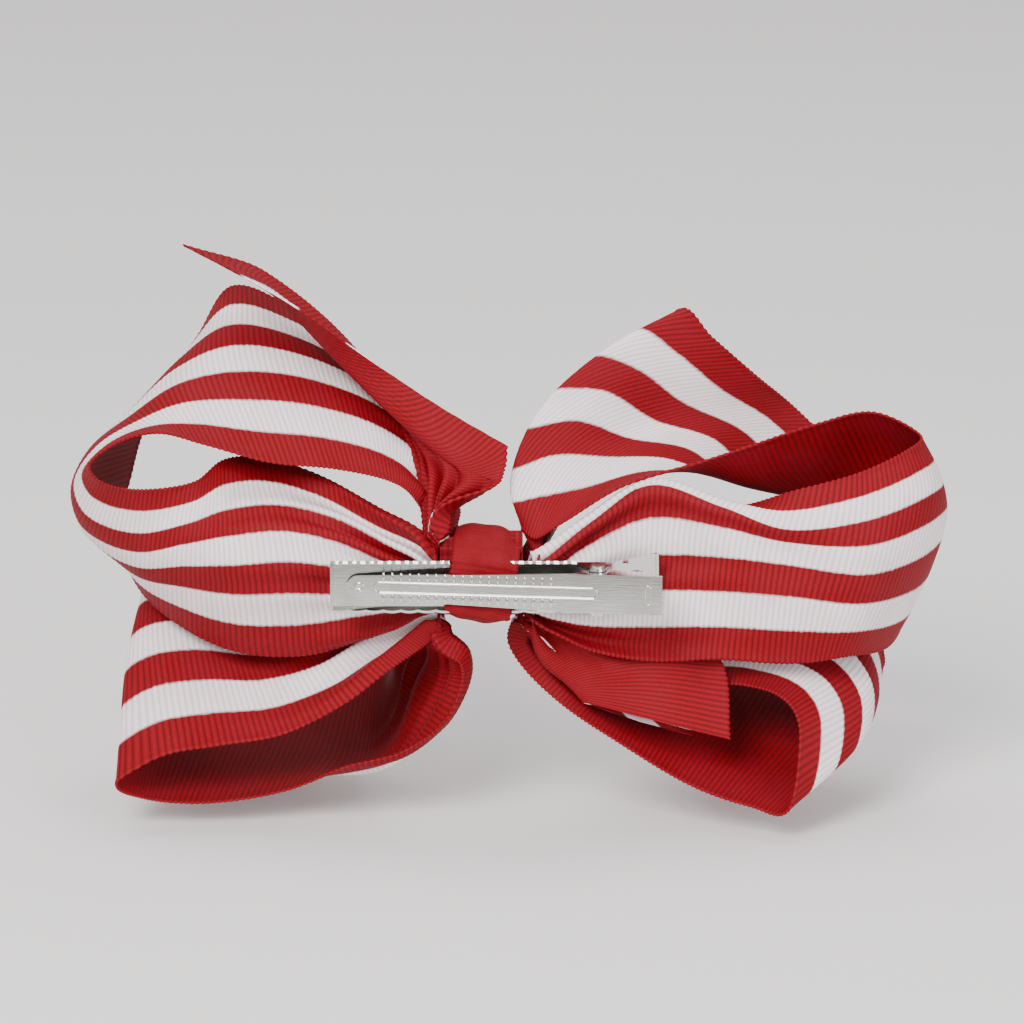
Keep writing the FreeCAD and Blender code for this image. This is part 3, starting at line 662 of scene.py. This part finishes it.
def knotOutline(grow, count):
    k = knot
    topZ = k["gatherHalfZ"] + k["gap"]
    backY = k["gatherMidY"] + k["gatherHalfY"] + k["gap"]
    half = [
        (k["frontY"] - 0.05, 0.0),
        (k["frontY"], 0.62 * k["jawZ"]),
        (k["frontY"] + 0.35, k["jawZ"]),
        (k["gatherMidY"] - 0.85 * k["gatherHalfY"], 0.88 * topZ),
        (k["gatherMidY"], topZ + 0.5),
        (k["gatherMidY"] + 0.72 * k["gatherHalfY"], 0.80 * topZ),
        (backY, 0.0),
    ]
    points = np.array(half + [(y, -z) for y, z in half[-2:0:-1]])
    middle = np.array([(k["frontY"] + backY) / 2, 0.0])
    points = points + unit(points - middle) * grow
    ring = np.concatenate([points[-3:], points, points[:4]])
    gaps = np.linalg.norm(np.diff(ring, axis=0), axis=1)
    places = np.concatenate([[0], np.cumsum(gaps)])
    first, last = places[3], places[3 + len(points)]
    wanted = evenly(first, last, count + 1)[:-1]
    return splineThrough(ring, places, wanted), last - first


def knotPiece():
    width = knot["width"]
    across = columnPlaces(width)
    outline, around = knotOutline(knot["grow"], 400)
    ribs = int(round(around / grosgrain["ribPitch"]))
    count = ribs * grosgrain["pointsPerRib"]
    outline, around = knotOutline(knot["grow"], count)
    along = evenly(0, ribs * grosgrain["ribPitch"], count + 1)[:-1]
    x = across - width / 2
    grid = np.zeros((count, len(across), 3))
    grid[..., 0] = x[None, :]
    # two soft folds run round the band, and it is lower at its edges over the gather
    fold = np.cos(2 * math.pi * 2 * across / width + 0.6) * knot["folds"]
    side = gridOut(outline)
    high = (np.abs(outline[:, 1:2]) / knot["gatherHalfZ"]) ** 3
    crown = high * knot["crown"] * (2 * x[None, :] / width) ** 2
    grid[..., 1] = outline[:, 0:1] + side[:, 0:1] * fold[None, :]
    grid[..., 2] = outline[:, 1:2] + side[:, 1:2] * fold[None, :] - np.sign(outline[:, 1:2]) * crown
    angle = math.radians(knot["tilt"])
    turned = grid.copy()
    turned[..., 0] = grid[..., 0] * math.cos(angle) + grid[..., 2] * math.sin(angle) + knot["shift"]
    turned[..., 2] = -grid[..., 0] * math.sin(angle) + grid[..., 2] * math.cos(angle)
    lines = np.broadcast_to(along[:, None], (count, len(across)))
    piece = woven("knotBand", turned, lines, across, width, (redFace, redFace), ribs * grosgrain["ribPitch"])
    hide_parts("knot_wrap")
    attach(piece, "root")


def gridOut(outline):
    ahead = np.roll(outline, -1, axis=0) - np.roll(outline, 1, axis=0)
    return unit(np.stack([-ahead[:, 1], ahead[:, 0]], -1)) * -1


knotPiece()
print("knot wrapped")

# gathered middle and its thread
gather = {
    "low": -8.2,
    "high": 6.2,
    "waist": 0.07,
    "waistReach": 2.2,
    "pleats": 17,
    "depth": 0.55,
    "rings": 40,
    "around": 340,
}


def gatherPiece():
    turns = evenly(0, 2 * math.pi, gather["around"] + 1)[:-1]
    places = evenly(gather["low"], gather["high"], gather["rings"])
    grid = np.zeros((gather["rings"] + 2, gather["around"], 3))
    for i, x in enumerate(places):
        waist = 1 - gather["waist"] * math.exp(-((x - knot["shift"]) / gather["waistReach"]) ** 2)
        pleat = gather["depth"] * np.cos(gather["pleats"] * turns + 0.8 * np.sin(3 * turns))
        halfZ = knot["gatherHalfZ"] * waist - gather["depth"] + pleat
        halfY = knot["gatherHalfY"] * waist - gather["depth"] + pleat
        grid[i + 1, :, 0] = x
        grid[i + 1, :, 1] = knot["gatherMidY"] + halfY * np.sin(turns)
        grid[i + 1, :, 2] = halfZ * np.cos(turns)
    centre = np.array([0, knot["gatherMidY"], 0])
    for end, source in ((0, 1), (-1, -2)):
        grid[end] = centre + (grid[source] - centre) * np.array([1, 0.02, 0.02])
    rows, columns = grid.shape[:2]
    index = np.arange(rows * columns).reshape(rows, columns)
    index = np.concatenate([index, index[:, :1]], axis=1)
    faces = np.stack([index[:-1, :-1], index[1:, :-1], index[1:, 1:], index[:-1, 1:]], -1).reshape(-1, 4)
    caps = [list(index[0, :-1]), list(index[-1, :-1][::-1])]
    piece = newPiece("gatherPleats", grid.reshape(-1, 3), faces.tolist())
    work = bmesh.new()
    work.from_mesh(piece.data)
    work.verts.ensure_lookup_table()
    for cap in caps:
        work.faces.new([work.verts[int(i)] for i in cap])
    bmesh.ops.recalc_face_normals(work, faces=work.faces)
    layer = work.loops.layers.uv.new("ribbonUV")
    for face in work.faces:
        for loop in face.loops:
            point = loop.vert.co / mm
            turn = math.atan2(point[2], point[1] - knot["gatherMidY"])
            loop[layer].uv = (point[0] / grosgrain["width"], turn)
    work.to_mesh(piece.data)
    work.free()
    piece.data.materials.append(redFace)
    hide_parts("gathered_centre")
    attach(piece, "root")


def tube(path, radius, sides, closed=False):
    # points and faces of a round tube along a path in mm
    path = np.asarray(path, float)
    if closed:
        ahead = unit(np.roll(path, -1, axis=0) - np.roll(path, 1, axis=0))
    else:
        ahead = unit(np.gradient(path, axis=0))
    up = np.array([0.0, 0.0, 1.0]) if abs(ahead[0, 2]) < 0.9 else np.array([0.0, 1.0, 0.0])
    rings = []
    for point, way in zip(path, ahead):
        across = unit(np.cross(way, up))
        up = np.cross(across, way)
        turns = evenly(0, 2 * math.pi, sides + 1)[:-1, None]
        rings.append(point + radius * (np.cos(turns) * across + np.sin(turns) * up))
    points = np.concatenate(rings)
    index = np.arange(len(path) * sides).reshape(len(path), sides)
    index = np.concatenate([index, index[:, :1]], axis=1)
    if closed:
        index = np.concatenate([index, index[:1]])
    faces = np.stack([index[:-1, :-1], index[:-1, 1:], index[1:, 1:], index[1:, :-1]], -1).reshape(-1, 4)
    if closed:
        return points, faces.tolist()
    caps = [list(index[0, :-1][::-1]), list(index[-1, :-1])]
    return points, faces.tolist() + [[int(i) for i in cap] for cap in caps]


def tubePiece(name, path, radius, sides, material):
    points, faces = tube(path, radius, sides)
    piece = newPiece(name, points, faces)
    piece.data.materials.append(material)
    return piece


thread = {
    "turns": 5,
    "radius": 0.28,
    "pitch": 0.5,
    "inset": 0.25,
    "dark": (0.22, 0.002, 0.008),
    "light": (0.55, 0.01, 0.03),
}


def threadPiece():
    turns = thread["turns"]
    angle = evenly(0, 2 * math.pi * turns, 60 * turns)
    path = np.zeros((len(angle), 3))
    path[:, 0] = (angle / (2 * math.pi) - turns / 2) * thread["pitch"]
    path[:, 1] = knot["gatherMidY"] + (knot["gatherHalfY"] - thread["inset"]) * np.sin(angle)
    path[:, 2] = (knot["gatherHalfZ"] - thread["inset"]) * np.cos(angle)
    piece = tubePiece("threadTurns", path, thread["radius"], 8, threadRed)
    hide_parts("binding_thread")
    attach(piece, "root")


def threadMaterial():
    material = bpy.data.materials.new("waxedThread")
    material.use_nodes = True
    tree = material.node_tree
    shader = tree.nodes["Principled BSDF"]
    place = tree.nodes.new("ShaderNodeTexCoord").outputs["Object"]
    ply = noise(tree, place, 2500.0, 2.0)
    colour = mixColour(tree, ply, thread["dark"], thread["light"])
    tree.links.new(colour, shader.inputs["Base Color"])
    tree.links.new(spread(tree, ply, 0.3, 0.7, 0.35, 0.6), shader.inputs["Roughness"])
    return material


threadRed = threadMaterial()
gatherPiece()
threadPiece()

# clip
clipLooks = {"bow_jaw": nickel, "prong_jaw": nickel, "pivot_pin": pinSteel, "glue_dab": glue}
for node, material in clipLooks.items():
    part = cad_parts[node]
    part.data.materials.clear()
    part.data.materials.append(material)

# the hinge pin's place, lengthwise and outward
hingePin = (19.0, -2.8)

emboss = {
    "lean": 6.227,
    "face": 2.85,
    "tip": -43.2,
    "ribStart": 6.4,
    "ribPitch": 1.53,
    "ribs": 20,
    "ribOffset": 1.85,
    "ribSize": (0.3, 0.22, 0.95),
    "ribSink": 0.04,
    "channel": (-37.4, -0.6, 0.95, 0.2),
    "slot": (9.1, 1.2, 0.45, 0.13),
    "dimple": (-41.0, 0.75, 0.17),
}


def onProng(points):
    # from the prong's own lengthwise, outward and sideways distances to the frame
    e = emboss
    lean = math.radians(e["lean"])
    u, v, z = points[:, 0], points[:, 1], points[:, 2]
    x = hingePin[0] + u * math.cos(lean) - v * math.sin(lean)
    y = hingePin[1] - u * math.sin(lean) - v * math.cos(lean)
    return np.stack([x, y, z], -1)


def ovalPath(fromU, toU, half, face, around=14):
    turns = evenly(-0.5 * math.pi, 0.5 * math.pi, around)
    right = np.stack([toU + half * np.cos(turns), turns * 0 + face, half * np.sin(turns)], -1)
    left = np.stack([fromU - half * np.cos(turns), turns * 0 + face, -half * np.sin(turns)], -1)
    return np.concatenate([right, left])


def bump(centre, size):
    ups, rounds = 7, 14
    a = evenly(0, math.pi, ups)[:, None]
    b = evenly(0, 2 * math.pi, rounds + 1)[:-1][None, :]
    along = size[0] * np.sin(a) * np.cos(b)
    outward = size[1] * np.cos(a) + 0 * b
    sideways = size[2] * np.sin(a) * np.sin(b)
    shape = np.stack([along, outward, sideways], -1)
    points = [shape[0, 0]] + list(shape[1:-1].reshape(-1, 3)) + [shape[-1, 0]]
    faces = []
    for j in range(rounds):
        k = (j + 1) % rounds
        faces.append([0, 1 + k, 1 + j])
        last = 1 + (ups - 3) * rounds
        faces.append([last + j, last + k, 1 + (ups - 2) * rounds])
        for i in range(ups - 3):
            low = 1 + i * rounds
            faces.append([low + j, low + k, low + rounds + k, low + rounds + j])
    return np.array(points) + np.array(centre), faces


def embossPiece():
    e = emboss
    parts = []
    for i in range(e["ribs"]):
        for side in (-1, 1):
            u = e["tip"] + e["ribStart"] + i * e["ribPitch"]
            parts.append(bump((u, e["face"] - e["ribSink"], side * e["ribOffset"]), e["ribSize"]))
    low, high, half, bead = e["channel"]
    parts.append(tube(ovalPath(low, high, half, e["face"]), bead, 8, True))
    u, reach, half, bead = e["slot"]
    ring = ovalPath(-reach, reach, half, e["face"], 8)
    ring = np.stack([u + ring[:, 2], ring[:, 1], -ring[:, 0]], -1)
    parts.append(tube(ring, bead, 8, True))
    u, half, bead = e["dimple"]
    parts.append(tube(ovalPath(u, u + 0.01, half, e["face"], 12), bead, 8, True))
    points, faces, count = [], [], 0
    for some, rows in parts:
        points.append(onProng(some))
        faces.extend([[int(i) + count for i in row] for row in rows])
        count += len(some)
    piece = newPiece("prongEmboss", np.concatenate(points), faces)
    piece.data.materials.append(nickel)
    work = bmesh.new()
    work.from_mesh(piece.data)
    bmesh.ops.recalc_face_normals(work, faces=work.faces)
    work.to_mesh(piece.data)
    work.free()
    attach(piece, "prong")


embossPiece()

spring = {
    "coil": 1.8,
    "wire": 0.43,
    "turns": 4,
    "pitch": 0.88,
    "bendX": 21.5,
    "press": 5.3,
    "handleAngle": 35.0,
    "tailAngle": -6.23,
    "tailLength": 8.2,
    "tailPoints": (1.2, 4.5),
    "sheet": 0.5,
    "midLeg": (2.6, 0.42),
    "atBend": (0.4, -0.55),
    "offCoil": (1.4, -0.95),
    "pointsPerTurn": 36,
    "pathPoints": 420,
    "sides": 12,
}


def springPiece():
    s = spring
    pinX, pinY = hingePin
    topZ = s["pitch"] * (s["turns"] - 1) / 2
    turns = s["turns"] - 0.5
    count = int(turns * s["pointsPerTurn"])
    # from the leg on the bow's jaw, round the pin, to the leg under the prong's tab
    angle = evenly(0.5 * math.pi, 0.5 * math.pi + 2 * math.pi * turns, count)
    z = evenly(topZ, -topZ, count)
    coil = np.stack([pinX + s["coil"] * np.cos(angle), pinY + s["coil"] * np.sin(angle), z], -1)
    handle = math.radians(s["handleAngle"])
    rise = s["press"] * math.tan(handle) - s["sheet"] / math.cos(handle)
    upper = [
        (s["bendX"] + s["press"], rise, topZ),
        (s["bendX"] + s["midLeg"][0], rise * s["midLeg"][1], topZ),
        (s["bendX"] + s["atBend"][0], s["atBend"][1], topZ),
        (pinX + s["offCoil"][0], s["offCoil"][1], topZ),
    ]
    down = math.radians(s["tailAngle"])
    foot = coil[-1]
    way = np.array([math.cos(down), math.sin(down), 0])
    lower = [foot + d * way for d in (*s["tailPoints"], s["tailLength"])]
    line = np.concatenate([upper, coil, lower])
    gaps = np.linalg.norm(np.diff(line, axis=0), axis=1)
    places = np.concatenate([[0], np.cumsum(gaps)])
    path = splineThrough(line, places, evenly(0, places[-1], s["pathPoints"]))
    piece = tubePiece("springCoil", path, s["wire"], s["sides"], springSteel)
    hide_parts("torsion_spring")
    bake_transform(piece)


springPiece()
print("clip and spring ready")

# stage, light and camera
# the floor goes dark towards the camera, for the nickel to mirror
stage = {
    "floorZ": -0.0475,
    "wallY": 3.0,
    "bend": 1.2,
    "half": 4.0,
    "height": 3.0,
    "front": -2.6,
    "colour": (0.80, 0.775, 0.765),
    "frontColour": (0.09, 0.09, 0.088),
    "darkFrom": -0.19,
    "paleFrom": -0.15,
}


def stageMaterial():
    material = bpy.data.materials.new("paperSweep")
    material.use_nodes = True
    tree = material.node_tree
    shader = tree.nodes["Principled BSDF"]
    place = tree.nodes.new("ShaderNodeTexCoord").outputs["Object"]
    grain = noise(tree, place, 30.0, 4.0)
    low = tuple(c * 0.985 for c in stage["colour"])
    pale = mixColour(tree, grain, low, stage["colour"])
    split = tree.nodes.new("ShaderNodeSeparateXYZ")
    tree.links.new(place, split.inputs[0])
    shade = spread(tree, split.outputs[1], stage["darkFrom"], stage["paleFrom"], 1.0, 0.0)
    tree.links.new(mixColour(tree, shade, pale, stage["frontColour"]), shader.inputs["Base Color"])
    shader.inputs["Roughness"].default_value = 0.9
    return material


def stagePiece():
    s = stage
    line = [(s["front"], s["floorZ"])]
    for i in range(25):
        a = 0.5 * math.pi * i / 24
        y = s["wallY"] - s["bend"] + s["bend"] * math.sin(a)
        line.append((y, s["floorZ"] + s["bend"] * (1 - math.cos(a))))
    line.append((s["wallY"], s["floorZ"] + s["height"]))
    points = [(x, y, z) for y, z in line for x in (-s["half"], s["half"])]
    faces = [[2 * i, 2 * i + 1, 2 * i + 3, 2 * i + 2] for i in range(len(line) - 1)]
    sweep = newPiece("paperSweep", np.array(points) / mm, faces)
    sweep.data.materials.append(stageMaterial())


studioLook = {
    "world": (0.95, 0.95, 0.96, 1),
    "worldStrength": 0.85,
    "lamps": [
        {"name": "keyLight", "place": (-0.35, -0.95, 0.75), "aim": (0, 0.01, 0), "size": (0.5, 0.5),
         "power": 20.0, "colour": (1.0, 0.99, 0.98)},
        {"name": "fillLight", "place": (0.7, -0.8, 0.3), "aim": (0, 0.01, 0), "size": (0.6, 0.6),
         "power": 6.0, "colour": (0.97, 0.98, 1.0)},
        {"name": "topLight", "place": (0.0, 0.25, 1.0), "aim": (0, 0.02, 0), "size": (0.8, 0.8),
         "power": 5.0, "colour": (1, 1, 1)},
    ],
}


def lamp(name, place, aim, size, power, colour):
    light = bpy.data.lights.new(name, "AREA")
    light.shape = "RECTANGLE"
    light.size, light.size_y = size
    light.energy = power
    light.color = colour
    lampObject = bpy.data.objects.new(name, light)
    bpy.context.scene.collection.objects.link(lampObject)
    lampObject.location = place
    way = np.array(aim) - np.array(place)
    lampObject.rotation_euler = Vector(way.tolist()).to_track_quat("-Z", "Y").to_euler()


def studio():
    for facts in studioLook["lamps"]:
        lamp(**facts)
    world = bpy.data.worlds.new("studioWorld")
    world.use_nodes = True
    world.node_tree.nodes["Background"].inputs[0].default_value = studioLook["world"]
    world.node_tree.nodes["Background"].inputs[1].default_value = studioLook["worldStrength"]
    bpy.context.scene.world = world


camera = {"elevation": 15.0, "distance": 1.2, "across": 0.17664, "aim": (4.31, -3.0, 0.0), "raise": 13.46}


def cameraPiece():
    tilt = math.radians(camera["elevation"])
    up = np.array([0, math.sin(tilt), math.cos(tilt)])
    ahead = np.array([0, math.cos(tilt), -math.sin(tilt)])
    aim = (np.array(camera["aim"]) + up * camera["raise"]) * mm
    data = bpy.data.cameras.new("shopCamera")
    data.sensor_width = 36.0
    data.lens = 36.0 * camera["distance"] / camera["across"]
    data.clip_start = 0.01
    eye = bpy.data.objects.new("shopCamera", data)
    bpy.context.scene.collection.objects.link(eye)
    eye.location = (aim - ahead * camera["distance"]).tolist()
    eye.rotation_euler = (math.radians(90 - camera["elevation"]), 0, 0)
    bpy.context.scene.camera = eye


stagePiece()
studio()
cameraPiece()
print("stage and camera ready")
